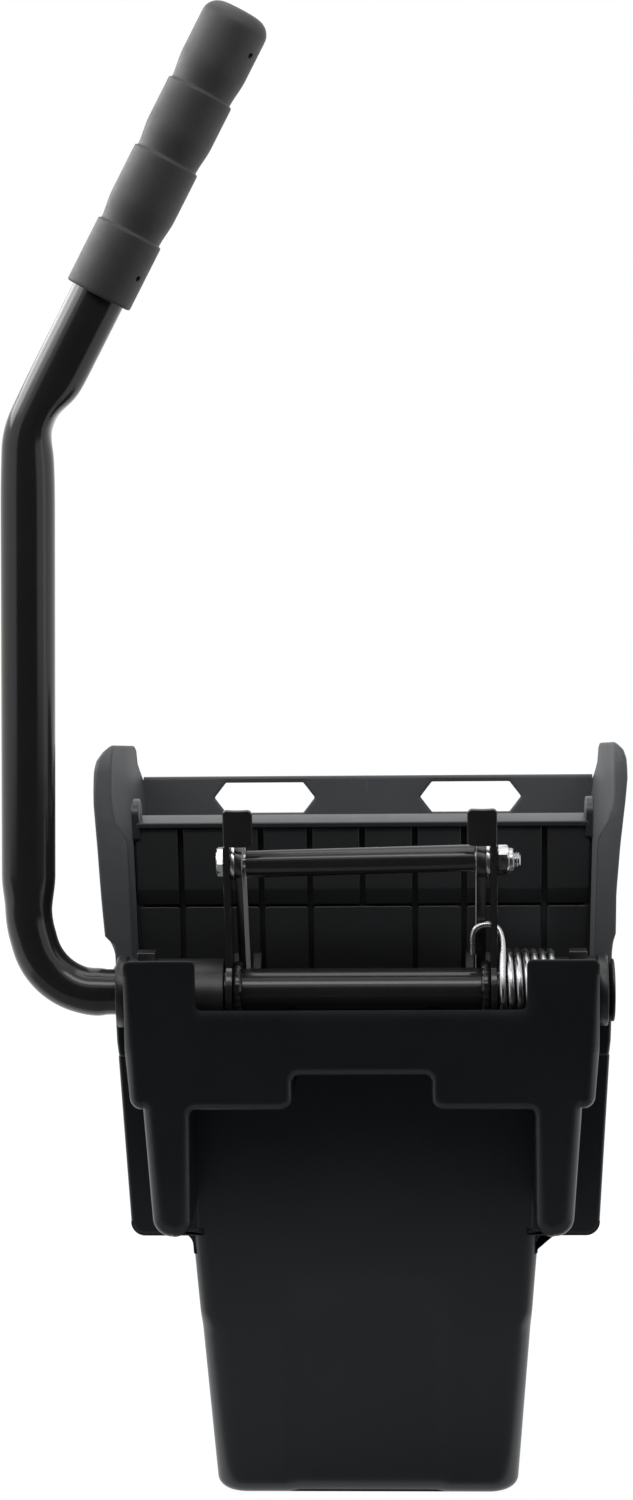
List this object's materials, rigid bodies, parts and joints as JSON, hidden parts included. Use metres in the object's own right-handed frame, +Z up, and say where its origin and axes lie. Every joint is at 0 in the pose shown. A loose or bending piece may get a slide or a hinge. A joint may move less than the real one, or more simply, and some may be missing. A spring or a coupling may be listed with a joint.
{
  "type": "side press mop wringer",
  "caption": "Moulded side press mop wringer: a tapered hopper with a fixed back wall, a hinged press plate driven by cranks and links, a bent tube lever with a grip, and a torsion return spring.",
  "frame": {"origin": "centre of the underside of the lower basket", "axes": "+Z up, +X to the right as seen from the shaft side, +Y away from the shaft side towards the fixed back wall"},
  "size_m": [0.306, 0.214, 0.7342],
  "materials": {
    "body_plastic": "black moulded plastic, satin",
    "plate_plastic": "black moulded plastic, satin",
    "bushing_plastic": "black moulded plastic, smooth",
    "handle_paint": "black gloss paint",
    "grip_vinyl": "dark grey vinyl, matte",
    "zinc_steel": "bright zinc plate",
    "link_steel": "black paint",
    "insert_nylon": "natural nylon",
    "spring_wire": "bright drawn wire"
  },
  "bodies": {
    "frame": {"wringer_body": "body_plastic", "left_bushing": "bushing_plastic", "right_bushing": "bushing_plastic", "hinge_rod": "zinc_steel", "return_spring": "spring_wire"},
    "handle": {"handle_tube": "handle_paint", "handle_grip": "grip_vinyl", "shaft_end_cap": "bushing_plastic", "left_crank_arm": "handle_paint", "right_crank_arm": "handle_paint", "arm_welds": "handle_paint", "pivot_bolt": "zinc_steel", "lock_nut": "zinc_steel", "nut_insert": "insert_nylon", "bolt_washers": "zinc_steel", "spacer_tube": "handle_paint"},
    "links": {"left_link": "link_steel", "right_link": "link_steel", "link_pins": "zinc_steel", "pin_clips": "zinc_steel"},
    "plate": {"press_plate": "plate_plastic"}
  },
  "joints": [
    {"name": "handle_swing", "type": "hinge", "parent": "frame", "child": "handle", "pos_m": [0, -0.076, 0.263], "axis": [-1, 0, 0], "range_deg": [0, 56], "stiffness_Nm_per_rad": 4, "springref_deg": -34.38, "deforming": ["return_spring"]},
    {"name": "link_swing", "type": "hinge", "parent": "handle", "child": "links", "pos_m": [0, -0.08519, 0.32836], "axis": [-1, 0, 0], "range_deg": [-77.4, 0]},
    {"name": "plate_swing", "type": "hinge", "parent": "frame", "child": "plate", "pos_m": [0, -0.006, 0.024], "axis": [-1, 0, 0], "range_deg": [0, 22.05]}
  ],
  "couplings": [
    {"joint": "link_swing", "follows": "handle_swing", "ratio": -1.3815},
    {"joint": "plate_swing", "follows": "handle_swing", "ratio": 0.3931}
  ]
}
